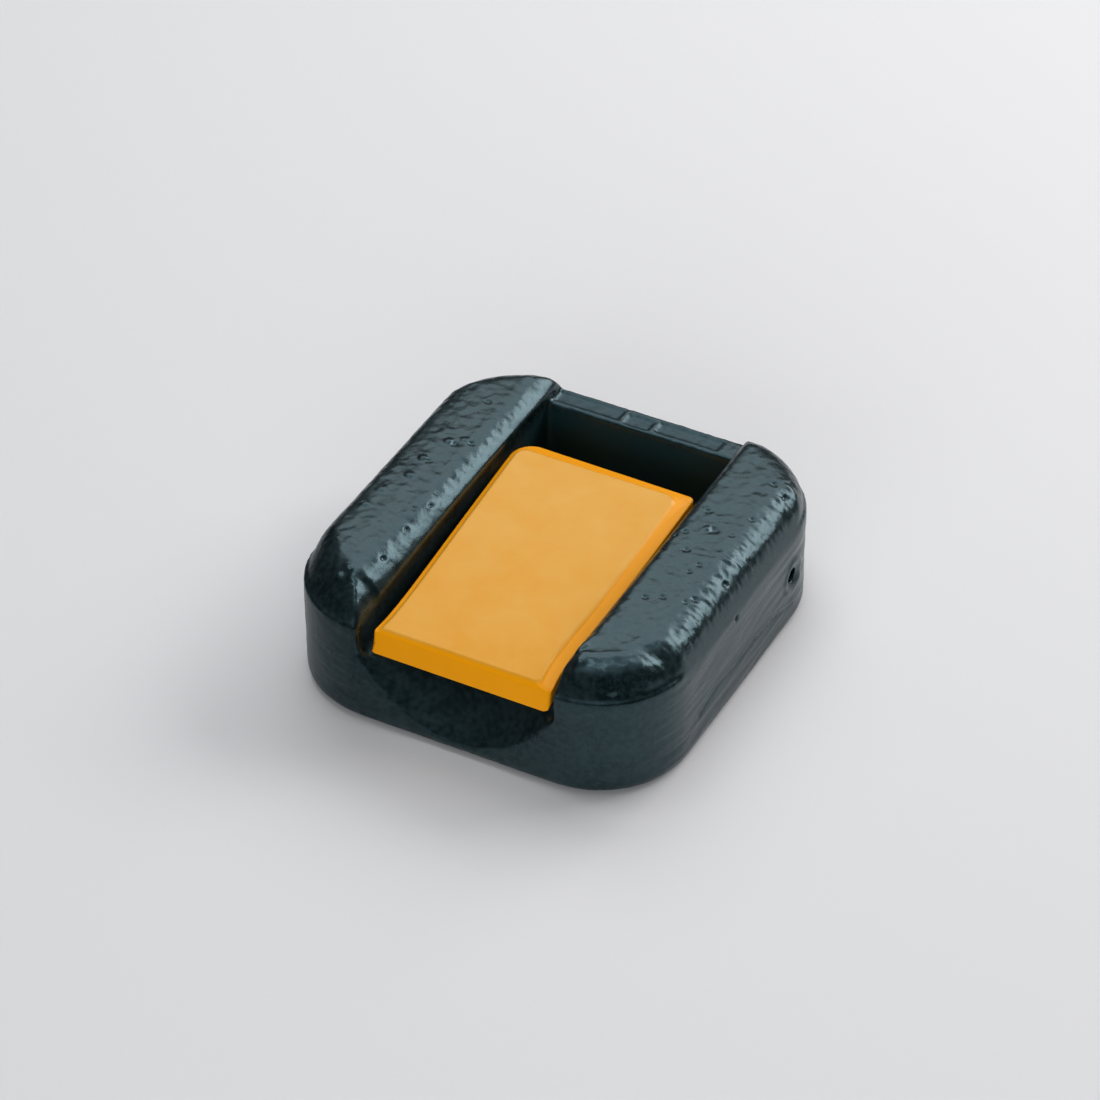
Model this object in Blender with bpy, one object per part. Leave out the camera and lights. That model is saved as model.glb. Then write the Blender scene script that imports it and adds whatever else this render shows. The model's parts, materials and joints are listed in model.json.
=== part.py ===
"""Quick-release diving weight: a plastic-coated lead casting with a sprung lever.

The diver's belt crosses the weight along X. It runs over one ridge, under the
lever, and over the other ridge. The lever turns on a pin at the back, and its
lip at the front keeps the belt in. Metres, +Z up, -Y is the lip's side, and
the origin lies under the middle of the flat base.
"""
import math

import bmesh
import bpy
from mathutils import Matrix, Vector

MM = 0.001

# Lever
BELT_SPAN = 53.0 * MM          # clear length under the lever: 50 mm webbing and play
LEVER_WIDTH = 36.0 * MM
PLATE_THICKNESS = 2.3 * MM
PLATE_RISE = 12.1 * MM         # top of the plate above the pin's axis
PLATE_OVERHANG = 1.2 * MM      # how far the plate reaches back past the web
PLATE_CORNER_BACK = 2.3 * MM
PLATE_CORNER_FRONT = 1.1 * MM
LIP_DEPTH = 4.7 * MM           # from the top of the plate to the lip's lower edge
LIP_THICKNESS = 2.1 * MM
LIP_LEAN = 1.0 * MM
LIP_FILLET = 1.0 * MM
PANEL_HEIGHT = 0.5 * MM
PANEL_BORDER = 2.1 * MM
PANEL_SLOPE = 0.7 * MM
PANEL_CORNER = 1.9 * MM
WEB_THICKNESS = 2.5 * MM
WEB_INSET = 1.5 * MM           # web narrower than the plate, on each side
KNUCKLE_RADIUS = 3.6 * MM

# Pin and torsion spring
PIN_RADIUS = 1.25 * MM
PIN_CLEARANCE = 0.3 * MM
PIN_CHAMFER = 0.3 * MM
PIN_PIT = 2.0 * MM             # the pin's end lies this deep in the right-hand wall
PIN_GRIP = 11.5 * MM           # the pin's length in the left-hand, blind bore
WIRE_RADIUS = 0.5 * MM
COIL_CLEARANCE = 0.45 * MM
COIL_TURNS = 8
COIL_PITCH = 1.6 * MM
COIL_SIDE_ROOM = 1.0 * MM      # between the coil and the knuckles
CURL_POINTS = 10
SHORT_LEG_ANGLE = 50.0         # where the leg to the recess floor leaves the coil
SEAT_GAP = 0.3 * MM            # between two pieces that touch on the real object

# Coated casting
SIDE_GAP = 2.0 * MM            # lever to channel wall, room for the webbing
END_PLAY = 0.5 * MM            # knuckles to channel wall
RIDGE_WIDTH = 18.5 * MM
LIP_SETBACK = 2.5 * MM
SWING_CLEARANCE = 0.8 * MM     # the opening lever's back to the recess wall
BACK_WALL = 6.2 * MM
WALL_TOP = 21.6 * MM           # height of the crisp edge of the side walls
RIDGE_HEIGHT = 5.7 * MM        # ridges above that edge
BAR_DROP = 4.0 * MM            # back bar below the ridges
CORNER_RADIUS = 17.8 * MM
FOOT_RADIUS = 1.9 * MM
LEDGE = 0.5 * MM
SHOULDER_SIDE = 3.1 * MM
SHOULDER_BACK = 4.5 * MM
SHOULDER_FRONT = 7.2 * MM
FRONT_SHOULDER_CORNER = 20.2 * MM
MOUTH_RADIUS = 2.9 * MM        # where the channel opens between the ridges
LEFT_MOUTH_BACK = 3.8 * MM     # on the left-hand ridge it widens from this behind the lever
LEFT_MOUTH_FRONT = 8.0 * MM    # to this at the front end
MOUTH_STEP = 0.1 * MM          # how far below the ridge's top the mouth's round ends
FLOOR_HEIGHT = 14.5 * MM       # belt floor
FLOOR_FILLET = 1.5 * MM
RECESS_FLOOR = 7.0 * MM
RECESS_FILLET = 1.5 * MM
KNUCKLE_GAP = 1.0 * MM
STEP_GAP = 0.5 * MM            # web to the step behind the belt floor
SCOOP_BOTTOM = 2.5 * MM
SCOOP_HALF_WIDTH = 19.5 * MM
SCOOP_SLOPE = 45.0             # degrees, rising towards the belt floor
SKIN = 1.0 * MM
CORE_GAP = 0.3 * MM

# Fineness of the round shapes
CORNER_STEPS = 12
SHOULDER_STEPS = 7
FOOT_STEPS = 3
FILLET_STEPS = 4
MOUTH_STEPS = 7
SCOOP_STEPS = 24
BORE_SEGMENTS = 24
KNUCKLE_SEGMENTS = 32
PAST = 4.0 * MM                # how far a cutter runs past what it cuts

# Places that follow from the sizes, in the lever's own frame: the pin's axis is at
# Y = Z = 0 there, and the plate lies level.
WEB_FRONT = -KNUCKLE_RADIUS
WEB_BACK = WEB_FRONT + WEB_THICKNESS
PLATE_BACK = WEB_BACK + PLATE_OVERHANG
LIP_FRONT = WEB_FRONT - BELT_SPAN - LIP_THICKNESS
CREST = LIP_FRONT + LIP_LEAN
PLATE_UNDER = PLATE_RISE - PLATE_THICKNESS
LIP_BOTTOM = PLATE_RISE - LIP_DEPTH
PANEL_TOP = PLATE_RISE + PANEL_HEIGHT
SWING_RADIUS = math.hypot(PLATE_BACK, PLATE_RISE)
COIL_RADIUS = PIN_RADIUS + COIL_CLEARANCE + WIRE_RADIUS
SPRING_BAY = COIL_TURNS * COIL_PITCH / 2 + WIRE_RADIUS + COIL_SIDE_ROOM

# Places in the weight's frame
PIN_HEIGHT = RECESS_FLOOR + KNUCKLE_GAP + KNUCKLE_RADIUS
LIP_SEAT = FLOOR_HEIGHT + SEAT_GAP - PIN_HEIGHT
DROOP = math.atan2(LIP_BOTTOM, -LIP_FRONT) - math.asin(LIP_SEAT / math.hypot(LIP_BOTTOM, LIP_FRONT))
LIP_REACH = -LIP_FRONT * math.cos(DROOP) + LIP_BOTTOM * math.sin(DROOP)
CHANNEL_HALF = LEVER_WIDTH / 2 + SIDE_GAP
HALF_WIDTH = CHANNEL_HALF + RIDGE_WIDTH
LENGTH = LIP_SETBACK + LIP_REACH + SWING_RADIUS + SWING_CLEARANCE + BACK_WALL
FRONT = -LENGTH / 2
BACK = LENGTH / 2
PIN_Y = FRONT + LIP_SETBACK + LIP_REACH
RECESS_BACK = BACK - BACK_WALL
RECESS_FRONT = PIN_Y + WEB_FRONT * math.cos(DROOP) - STEP_GAP
RIDGE_TOP = WALL_TOP + RIDGE_HEIGHT
BAR_TOP = RIDGE_TOP - BAR_DROP
PIN_LEFT = -CHANNEL_HALF - PIN_GRIP
PIN_RIGHT = HALF_WIDTH - PIN_PIT


def clear_scene():
    for old in list(bpy.data.objects):
        bpy.data.objects.remove(old, do_unlink=True)


def new_collection(name):
    collection = bpy.data.collections.new(name)
    bpy.context.scene.collection.children.link(collection)
    return collection


def paint(name, colour, roughness, metallic=0.0):
    material = bpy.data.materials.new(name)
    material.use_nodes = True
    shader = material.node_tree.nodes["Principled BSDF"]
    shader.inputs["Base Color"].default_value = (*colour, 1.0)
    shader.inputs["Roughness"].default_value = roughness
    shader.inputs["Metallic"].default_value = metallic
    material.diffuse_color = (*colour, 1.0)
    return material


def object_from(name, bm, collection):
    """Close a bmesh into a named object."""
    bmesh.ops.recalc_face_normals(bm, faces=bm.faces)
    mesh = bpy.data.meshes.new(name)
    bm.to_mesh(mesh)
    bm.free()
    made = bpy.data.objects.new(name, mesh)
    collection.objects.link(made)
    return made


def cutter_look(made):
    made.hide_render = True
    made.display_type = "WIRE"
    return made


def boolean(target, tool, operation="DIFFERENCE"):
    modifier = target.modifiers.new(f"{operation.lower()} {tool.name}", "BOOLEAN")
    modifier.operation = operation
    modifier.object = tool
    modifier.solver = "EXACT"


def arc(centre, radius, start, end, steps):
    """Points along an arc, from the start angle to the end angle in degrees."""
    points = []
    for step in range(steps + 1):
        angle = math.radians(start + (end - start) * step / steps)
        points.append((centre[0] + radius * math.cos(angle), centre[1] + radius * math.sin(angle)))
    return points


def round_rectangle(half_width, front, back, front_radius, back_radius):
    """A rectangle in plan with one radius at its front and one at its back corners."""
    points = arc((half_width - back_radius, back - back_radius), back_radius, 0, 90, CORNER_STEPS)
    points += arc((back_radius - half_width, back - back_radius), back_radius, 90, 180, CORNER_STEPS)
    points += arc((front_radius - half_width, front + front_radius), front_radius, 180, 270, CORNER_STEPS)
    points += arc((half_width - front_radius, front + front_radius), front_radius, 270, 360, CORNER_STEPS)
    return points


def loft(name, sections, collection):
    """A closed solid through plan outlines of equal length, each at its height."""
    bm = bmesh.new()
    loops = [[bm.verts.new((x, y, height)) for x, y in outline] for outline, height in sections]
    for lower, upper in zip(loops, loops[1:]):
        for i, corner in enumerate(lower):
            j = (i + 1) % len(lower)
            bm.faces.new((corner, lower[j], upper[j], upper[i]))
    bm.faces.new(reversed(loops[0]))
    bm.faces.new(loops[-1])
    return object_from(name, bm, collection)


def prism(name, outline, thickness, matrix, collection):
    """A flat outline given thickness: its plane is the matrix's XY plane."""
    curve = bpy.data.curves.new(name, "CURVE")
    curve.dimensions = "2D"
    curve.fill_mode = "BOTH"
    curve.extrude = thickness / 2
    spline = curve.splines.new("POLY")
    spline.points.add(len(outline) - 1)
    for point, (x, y) in zip(spline.points, outline):
        point.co = (x, y, 0, 1)
    spline.use_cyclic_u = True
    flat = bpy.data.objects.new(f"{name}_outline", curve)
    collection.objects.link(flat)
    made = mesh_from_curve(name, flat, collection)
    made.matrix_world = matrix
    return made


def mesh_from_curve(name, flat, collection):
    """The curve object as a mesh with its caps welded on."""
    bpy.context.view_layer.update()
    evaluated = flat.evaluated_get(bpy.context.evaluated_depsgraph_get())
    mesh = bpy.data.meshes.new_from_object(evaluated)
    matrix = flat.matrix_world.copy()
    bpy.data.objects.remove(flat, do_unlink=True)
    bm = bmesh.new()
    bm.from_mesh(mesh)
    bpy.data.meshes.remove(mesh)
    bmesh.ops.remove_doubles(bm, verts=bm.verts, dist=0.001 * MM)
    made = object_from(name, bm, collection)
    made.matrix_world = matrix
    return made


def rounded_box(name, low, high, radius, collection):
    """A box whose upright and lower edges are rounded."""
    bm = bmesh.new()
    size = Vector(high) - Vector(low)
    middle = (Vector(high) + Vector(low)) / 2
    bmesh.ops.create_cube(bm, size=1.0, matrix=Matrix.Translation(middle) @ Matrix.Diagonal((*size, 1.0)))
    edges = [edge for edge in bm.edges if min(vert.co.z for vert in edge.verts) < middle.z]
    bmesh.ops.bevel(bm, geom=edges, offset=radius, segments=FILLET_STEPS, profile=0.5, affect="EDGES")
    return object_from(name, bm, collection)


def rod(name, start, end, radius, segments, collection, chamfer=0.0):
    """A round bar along X, from X = start to X = end, round the origin's X axis."""
    bm = bmesh.new()
    place = Matrix.Translation(((start + end) / 2, 0, 0)) @ Matrix.Rotation(math.pi / 2, 4, "Y")
    bmesh.ops.create_cone(
        bm, cap_ends=True, segments=segments, radius1=radius, radius2=radius, depth=end - start, matrix=place
    )
    if chamfer:
        rims = [edge for edge in bm.edges if abs(edge.verts[0].co.x - edge.verts[1].co.x) < 0.001 * MM]
        bmesh.ops.bevel(bm, geom=rims, offset=chamfer, segments=1, profile=0.5, affect="EDGES")
    return object_from(name, bm, collection)


def smooth(made, angle=40.0):
    made.data.shade_smooth()
    made.data.set_sharp_from_angle(angle=math.radians(angle))


ALONG_Y = Matrix.Rotation(math.pi / 2, 4, "X")                  # plan X, height -> X, Z
ALONG_X = Matrix(((0, 0, 1, 0), (1, 0, 0, 0), (0, 1, 0, 0), (0, 0, 0, 1)))  # depth, height -> Y, Z


def blank(name, depth, collection):
    """The casting before its channel is cut, at a depth under the coating's surface."""
    sections = []

    def section(side, front, back, front_radius, height):
        outline = round_rectangle(
            HALF_WIDTH - side - depth, FRONT + front + depth, BACK - back - depth,
            front_radius - depth, CORNER_RADIUS - depth,
        )
        sections.append((outline, height))

    foot = max(FOOT_RADIUS - depth, SEAT_GAP)
    for step in range(FOOT_STEPS + 1):
        angle = math.pi / 2 * step / FOOT_STEPS
        inset = foot * (1 - math.sin(angle))
        section(inset, inset, inset, CORNER_RADIUS, depth + foot * (1 - math.cos(angle)))
    section(0, 0, 0, CORNER_RADIUS, WALL_TOP - depth)
    for step in range(SHOULDER_STEPS + 1):
        angle = math.pi / 2 * step / SHOULDER_STEPS
        lean = 1 - math.cos(angle)
        section(
            LEDGE + SHOULDER_SIDE * lean,
            LEDGE + SHOULDER_FRONT * lean ** 0.5 if lean else LEDGE,
            LEDGE + SHOULDER_BACK * lean,
            CORNER_RADIUS + (FRONT_SHOULDER_CORNER - CORNER_RADIUS) * math.sin(angle),
            WALL_TOP - depth + RIDGE_HEIGHT * math.sin(angle),
        )
    return loft(name, sections, collection)


def channel_side(depth, floor, mouth_radius):
    """Right-hand half of the channel's section across X: floor, filleted corner and rounded mouth."""
    fillet = min(FLOOR_FILLET, (RIDGE_TOP - mouth_radius - floor) / 2)
    bottom = (CHANNEL_HALF - fillet, floor + fillet)
    mouth = (CHANNEL_HALF + mouth_radius, RIDGE_TOP - mouth_radius)
    top = 90 + math.degrees(math.acos(1 - MOUTH_STEP / mouth_radius))
    side = arc(bottom, fillet + depth, -90, 0, FILLET_STEPS)
    side += arc(mouth, mouth_radius - depth, 180, top, MOUTH_STEPS)
    side.append((side[-1][0], RIDGE_TOP + PAST))
    return side


def channel_outline(depth, floor, left_mouth):
    """The channel's whole section across X; the left-hand ridge has its own mouth radius."""
    left = [(-x, z) for x, z in reversed(channel_side(depth, floor, left_mouth))]
    return channel_side(depth, floor, MOUTH_RADIUS) + left


def channel_cutter(name, depth, start, end, collection):
    """The channel along Y from start to end; its left-hand mouth widens towards the front."""
    widening = (LEFT_MOUTH_FRONT - LEFT_MOUTH_BACK) / (RECESS_BACK - FRONT)
    sections = []
    for y in (end, start):
        left_mouth = LEFT_MOUTH_BACK + widening * (RECESS_BACK - y)
        sections.append((channel_outline(depth, FLOOR_HEIGHT, left_mouth), -y))
    made = loft(name, sections, collection)
    made.matrix_world = ALONG_Y
    # The widening mouth's sides aren't flat quads, and a Boolean needs flat faces.
    bm = bmesh.new()
    bm.from_mesh(made.data)
    bmesh.ops.triangulate(bm, faces=bm.faces[:])
    bm.to_mesh(made.data)
    bm.free()
    return made


def scoop_outline(depth):
    """Finger scoop section: the bottom arc of a wide circle, open above."""
    sagitta = (FLOOR_HEIGHT - SCOOP_BOTTOM) * math.cos(math.radians(SCOOP_SLOPE))
    radius = (SCOOP_HALF_WIDTH ** 2 + sagitta ** 2) / (2 * sagitta)
    spread = math.degrees(math.asin(SCOOP_HALF_WIDTH / radius))
    points = arc((0, radius), radius + depth, -90 - spread, -90 + spread, SCOOP_STEPS)
    above = sagitta + RIDGE_HEIGHT
    return points + [(points[-1][0], above), (points[0][0], above)]


def cut_casting(target, depth, cutters):
    """Cut the belt channel, the bar's notch, the lever's recess and the finger scoop."""
    name = target.name
    channel = channel_cutter(
        f"{name}_channel", depth, FRONT - PAST, RECESS_BACK + depth, cutters,
    )
    notch_end = BACK + PAST
    notch_start = RECESS_BACK - PAST
    notch = prism(
        f"{name}_notch", channel_outline(depth, BAR_TOP, MOUTH_RADIUS), notch_end - notch_start,
        Matrix.Translation((0, (notch_start + notch_end) / 2, 0)) @ ALONG_Y, cutters,
    )
    recess = rounded_box(
        f"{name}_recess",
        (-CHANNEL_HALF - depth, RECESS_FRONT - depth, RECESS_FLOOR - depth),
        (CHANNEL_HALF + depth, RECESS_BACK + depth, RIDGE_TOP - LEFT_MOUTH_FRONT),
        RECESS_FILLET + depth, cutters,
    )
    slope = math.radians(SCOOP_SLOPE)
    length = (FLOOR_HEIGHT - SCOOP_BOTTOM) / math.sin(slope) + 2 * PAST
    lowest = Matrix.Translation((0, FRONT, SCOOP_BOTTOM)) @ Matrix.Rotation(slope, 4, "X") @ ALONG_Y
    scoop = prism(
        f"{name}_scoop", scoop_outline(depth), 2 * length, lowest, cutters,
    )
    for tool in (channel, notch, recess, scoop):
        boolean(target, cutter_look(tool))


def make_bore(cutters):
    bore = rod(
        "pin_bore", PIN_LEFT - SEAT_GAP, HALF_WIDTH + PAST, PIN_RADIUS + PIN_CLEARANCE,
        BORE_SEGMENTS, cutters,
    )
    bore.location = (0, PIN_Y, PIN_HEIGHT)
    return cutter_look(bore)


def make_coating(parts, cutters, bore):
    """The dipped skin: the outer form less the space of the casting, open at the bores."""
    coating = blank("coating", 0.0, parts)
    cut_casting(coating, 0.0, cutters)
    space = cutter_look(blank("casting_space", SKIN, cutters))
    cut_casting(space, SKIN, cutters)
    boolean(coating, space)
    boolean(coating, bore)
    coating.data.materials.append(paint("coating_plastic", (0.012, 0.024, 0.027), 0.28))
    smooth(coating)


def make_core(parts, cutters, bore):
    """The lead casting, a hair's width inside its skin."""
    depth = SKIN + CORE_GAP
    core = blank("lead_core", depth, parts)
    cut_casting(core, depth, cutters)
    boolean(core, bore)
    core.data.materials.append(paint("cast_lead", (0.20, 0.21, 0.23), 0.6, 1.0))
    smooth(core)


def plate_outline():
    """Side view of the lever's plate and lip, in the lever's frame."""
    lip_inner = LIP_FRONT + LIP_THICKNESS
    root = (CREST + LIP_THICKNESS + LIP_FILLET, PLATE_UNDER - LIP_FILLET)
    return [
        (PLATE_BACK, PLATE_RISE),
        (CREST, PLATE_RISE),
        (LIP_FRONT, LIP_BOTTOM),
        (lip_inner, LIP_BOTTOM),
        *arc(root, LIP_FILLET, 180, 90, FILLET_STEPS),
        (PLATE_BACK, PLATE_UNDER),
    ]


def cheek_outline():
    """Side view of the web: it widens round the pin to the knuckle's curve."""
    top = (WEB_BACK, PLATE_UNDER + PLATE_THICKNESS / 2)
    reach = math.hypot(*top)
    tangent = math.degrees(math.atan2(top[1], top[0]) - math.acos(KNUCKLE_RADIUS / reach))
    knuckle = arc((0, 0), KNUCKLE_RADIUS, 180, 360 + tangent, KNUCKLE_SEGMENTS // 2)
    return [(WEB_FRONT, top[1]), *knuckle, top]


def make_lever(parts, cutters, bore_radius):
    """The moulded lever: plate, lip, raised panel, web and two hinge knuckles."""
    half = LEVER_WIDTH / 2
    lever = prism("release_lever", plate_outline(), LEVER_WIDTH, ALONG_X, parts)
    corners = loft(
        "lever_corners",
        [
            (round_rectangle(half, LIP_FRONT, PLATE_BACK, PLATE_CORNER_FRONT, PLATE_CORNER_BACK), height)
            for height in (LIP_BOTTOM - PAST, PANEL_TOP)
        ],
        cutters,
    )
    boolean(lever, cutter_look(corners), "INTERSECT")
    levels = ((0, PLATE_RISE - PLATE_THICKNESS / 2), (0, PLATE_RISE), (PANEL_SLOPE, PANEL_TOP))
    panel = loft(
        "lever_panel",
        [
            (
                round_rectangle(
                    half - PANEL_BORDER - slope, CREST + slope, PLATE_BACK - PANEL_BORDER - slope,
                    PANEL_CORNER, PANEL_CORNER,
                ),
                height,
            )
            for slope, height in levels
        ],
        cutters,
    )
    boolean(lever, cutter_look(panel), "UNION")
    web = prism("lever_web", cheek_outline(), LEVER_WIDTH - 2 * WEB_INSET, ALONG_X, cutters)
    boolean(lever, cutter_look(web), "UNION")
    knuckle_end = CHANNEL_HALF - END_PLAY
    barrel = rod("lever_barrel", -knuckle_end, knuckle_end, KNUCKLE_RADIUS, KNUCKLE_SEGMENTS, cutters)
    boolean(lever, cutter_look(barrel), "UNION")
    bay_top = KNUCKLE_RADIUS + COIL_SIDE_ROOM
    bay = rounded_box(
        "spring_bay", (-SPRING_BAY, WEB_FRONT - PAST, -bay_top), (SPRING_BAY, 2 * KNUCKLE_RADIUS, bay_top),
        SEAT_GAP, cutters,
    )
    boolean(lever, cutter_look(bay))
    pocket = rounded_box(
        "leg_pocket", (-SPRING_BAY, WEB_BACK, -bay_top),
        (SPRING_BAY, 2 * KNUCKLE_RADIUS, PLATE_UNDER - SEAT_GAP), SEAT_GAP, cutters,
    )
    boolean(lever, cutter_look(pocket))
    hole = rod("lever_bore", -HALF_WIDTH, HALF_WIDTH, bore_radius, BORE_SEGMENTS, cutters)
    boolean(lever, cutter_look(hole))
    lever.data.materials.append(paint("orange_plastic", (0.75, 0.29, 0.02), 0.3))
    smooth(lever)

    hinge = bpy.data.objects.new("lever_hinge", None)
    hinge.empty_display_size = KNUCKLE_RADIUS
    hinge.location = (0, PIN_Y, PIN_HEIGHT)
    hinge.rotation_euler = (DROOP, 0, 0)
    parts.objects.link(hinge)
    for piece in (lever, corners, panel, web, barrel, bay, pocket, hole):
        piece.parent = hinge


def make_pin(parts):
    pin = rod("hinge_pin", PIN_LEFT, PIN_RIGHT, PIN_RADIUS, BORE_SEGMENTS, parts, PIN_CHAMFER)
    pin.location = (0, PIN_Y, PIN_HEIGHT)
    pin.data.materials.append(paint("stainless_steel", (0.55, 0.56, 0.57), 0.25, 1.0))
    smooth(pin)


def spring_points():
    """The wire's middle line, round the pin's axis: short leg, coil, long leg."""
    web_angle = math.degrees(DROOP)
    contact = PLATE_UNDER - PLATE_THICKNESS
    stand_off = WEB_BACK + SEAT_GAP + WIRE_RADIUS
    # The long leg leaves the coil along its tangent and meets the web's back at the contact height.
    reach = math.hypot(stand_off, contact)
    lean = math.degrees(math.atan2(contact, stand_off) - math.acos(COIL_RADIUS / reach))
    last = 360 * COIL_TURNS + lean + web_angle
    steps = round(CURL_POINTS * (last - SHORT_LEG_ANGLE) / 360)
    half = COIL_PITCH * COIL_TURNS / 2
    coil = []
    for step in range(steps + 1):
        angle = math.radians(SHORT_LEG_ANGLE + (last - SHORT_LEG_ANGLE) * step / steps)
        x = half * (2 * step / steps - 1)
        coil.append(Vector((x, COIL_RADIUS * math.cos(angle), COIL_RADIUS * math.sin(angle))))

    first = math.radians(SHORT_LEG_ANGLE)
    drop = PIN_HEIGHT - RECESS_FLOOR - SEAT_GAP - WIRE_RADIUS + coil[0].z
    short_end = coil[0] + Vector((0, math.sin(first), -math.cos(first))) * drop / math.cos(first)
    turned = math.radians(last)
    long_length = math.sqrt(reach ** 2 - COIL_RADIUS ** 2)
    long_end = coil[-1] + Vector((0, -math.sin(turned), math.cos(turned))) * long_length
    return [short_end] + coil + [long_end]


def least_gap(points):
    """Smallest space between turns of the wire, measured on its points."""
    gaps = []
    for i, here in enumerate(points):
        for there in points[i + CURL_POINTS // 2:]:
            gaps.append((here - there).length)
    return min(gaps) - 2 * WIRE_RADIUS


def make_spring(parts):
    """The torsion spring: one leg on the recess floor, the other behind the lever's web."""
    points = spring_points()
    wire = bpy.data.curves.new("torsion_spring", "CURVE")
    wire.dimensions = "3D"
    wire.bevel_depth = WIRE_RADIUS
    wire.bevel_resolution = 1
    wire.use_fill_caps = True
    spline = wire.splines.new("POLY")
    spline.points.add(len(points) - 1)
    for point, place in zip(spline.points, points):
        point.co = (*place, 1)
    drawn = bpy.data.objects.new("torsion_spring_wire", wire)
    parts.objects.link(drawn)
    drawn.location = (0, PIN_Y, PIN_HEIGHT)
    spring = mesh_from_curve("torsion_spring", drawn, parts)
    spring.data.materials.append(paint("spring_steel", (0.5, 0.51, 0.52), 0.3, 1.0))
    smooth(spring, 60.0)
    print(f"torsion_spring least gap {least_gap(points) / MM:.2f} mm")


def main():
    clear_scene()
    parts = new_collection("diving_weight")
    cutters = new_collection("cutters")
    bore = make_bore(cutters)
    make_coating(parts, cutters, bore)
    make_core(parts, cutters, bore)
    make_lever(parts, cutters, PIN_RADIUS + PIN_CLEARANCE)
    make_pin(parts)
    make_spring(parts)
    bpy.context.view_layer.update()
    print(f"body {2 * HALF_WIDTH / MM:.1f} x {LENGTH / MM:.1f} x {RIDGE_TOP / MM:.1f} mm")
    print(f"pin axis y {PIN_Y / MM:.2f} z {PIN_HEIGHT / MM:.2f} mm, droop {math.degrees(DROOP):.2f} degrees")


main()
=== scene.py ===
# %% [markdown]
# # A quick-release diving weight
# The real object is a lead block dipped in glossy dark plastic, with an orange lever in its
# middle. A belt passes under the lever, and a small spring on a steel pin keeps the lever down.
# Every cell below makes one piece or one finish, in metres, in the place the CAD model gives.

import json
import math

import bmesh
import bpy
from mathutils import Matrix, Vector


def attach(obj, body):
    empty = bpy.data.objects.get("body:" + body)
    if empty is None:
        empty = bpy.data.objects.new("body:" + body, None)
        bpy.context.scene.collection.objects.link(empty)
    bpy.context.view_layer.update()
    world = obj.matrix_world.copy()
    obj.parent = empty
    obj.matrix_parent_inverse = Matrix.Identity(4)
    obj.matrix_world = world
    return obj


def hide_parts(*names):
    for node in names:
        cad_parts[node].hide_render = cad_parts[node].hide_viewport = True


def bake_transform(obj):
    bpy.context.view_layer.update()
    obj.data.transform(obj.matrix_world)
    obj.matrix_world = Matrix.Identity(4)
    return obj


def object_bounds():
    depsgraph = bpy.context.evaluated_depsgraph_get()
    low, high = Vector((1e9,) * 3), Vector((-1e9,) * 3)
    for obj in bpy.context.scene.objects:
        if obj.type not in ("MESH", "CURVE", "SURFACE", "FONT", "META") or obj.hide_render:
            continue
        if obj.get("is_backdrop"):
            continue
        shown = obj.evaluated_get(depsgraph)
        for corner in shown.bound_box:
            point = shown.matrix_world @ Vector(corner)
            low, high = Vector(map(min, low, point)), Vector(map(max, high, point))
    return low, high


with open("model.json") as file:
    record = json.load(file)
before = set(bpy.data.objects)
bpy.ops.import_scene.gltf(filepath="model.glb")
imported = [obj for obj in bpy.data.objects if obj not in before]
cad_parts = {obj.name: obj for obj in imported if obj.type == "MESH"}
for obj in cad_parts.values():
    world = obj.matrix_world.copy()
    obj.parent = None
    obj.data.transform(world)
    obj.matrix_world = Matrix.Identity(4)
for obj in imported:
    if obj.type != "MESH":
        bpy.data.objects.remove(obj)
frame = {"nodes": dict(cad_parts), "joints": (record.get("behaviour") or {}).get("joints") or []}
cad_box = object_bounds()
nodes = frame["nodes"]
PIN = Vector(frame["joints"][0]["pos_m"])
MM = 0.001
print("nodes:", sorted(nodes), "pin axis:", [round(c / MM, 2) for c in PIN], "mm")

# %% [markdown]
# ## Helpers for working by hand
# Blender's operators act on whatever is selected, and a freshly loaded model is selected all
# over. So each step starts by choosing one object, and inside edit mode the vertices, edges or
# faces are picked by where they are, as a person would pick them with the mouse.

# %% Selection helpers
def only(piece):
    """Select one object and nothing else, and make it the active one."""
    bpy.ops.object.select_all(action="DESELECT")
    piece.select_set(True)
    bpy.context.view_layer.objects.active = piece


def edit(piece):
    """Go into edit mode on one piece with nothing selected."""
    only(piece)
    bpy.ops.object.mode_set(mode="EDIT")
    bpy.ops.mesh.select_mode(type="VERT")
    bpy.ops.mesh.select_all(action="DESELECT")


def place(item):
    """Where the middle of an edge or a face is."""
    if isinstance(item, bmesh.types.BMEdge):
        return (item.verts[0].co + item.verts[1].co) / 2
    return item.calc_center_median()


def choose(piece, kind, test):
    """In edit mode, select what passes the test, and return how many that were."""
    bpy.ops.mesh.select_mode(type=kind)
    bpy.ops.mesh.select_all(action="DESELECT")
    mesh = bmesh.from_edit_mesh(piece.data)
    items = {"VERT": mesh.verts, "EDGE": mesh.edges, "FACE": mesh.faces}[kind]
    count = 0
    for item in items:
        if test(item):
            item.select = True
            count += 1
    mesh.select_flush_mode()
    bmesh.update_edit_mesh(piece.data)
    return count


def leave():
    """Go back to object mode."""
    bpy.ops.object.mode_set(mode="OBJECT")


def apply(piece, kind, **settings):
    """Add a modifier, set it up and apply it."""
    only(piece)
    modifier = piece.modifiers.new(kind.lower(), kind)
    for name, value in settings.items():
        setattr(modifier, name, value)
    bpy.ops.object.modifier_apply(modifier=modifier.name)


# %% [markdown]
# ## Camera
# The weight is seen from its front right and from above, through a long lens, so its edges
# stay almost parallel. The small shift only puts it where the photograph has it in the frame.

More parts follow.
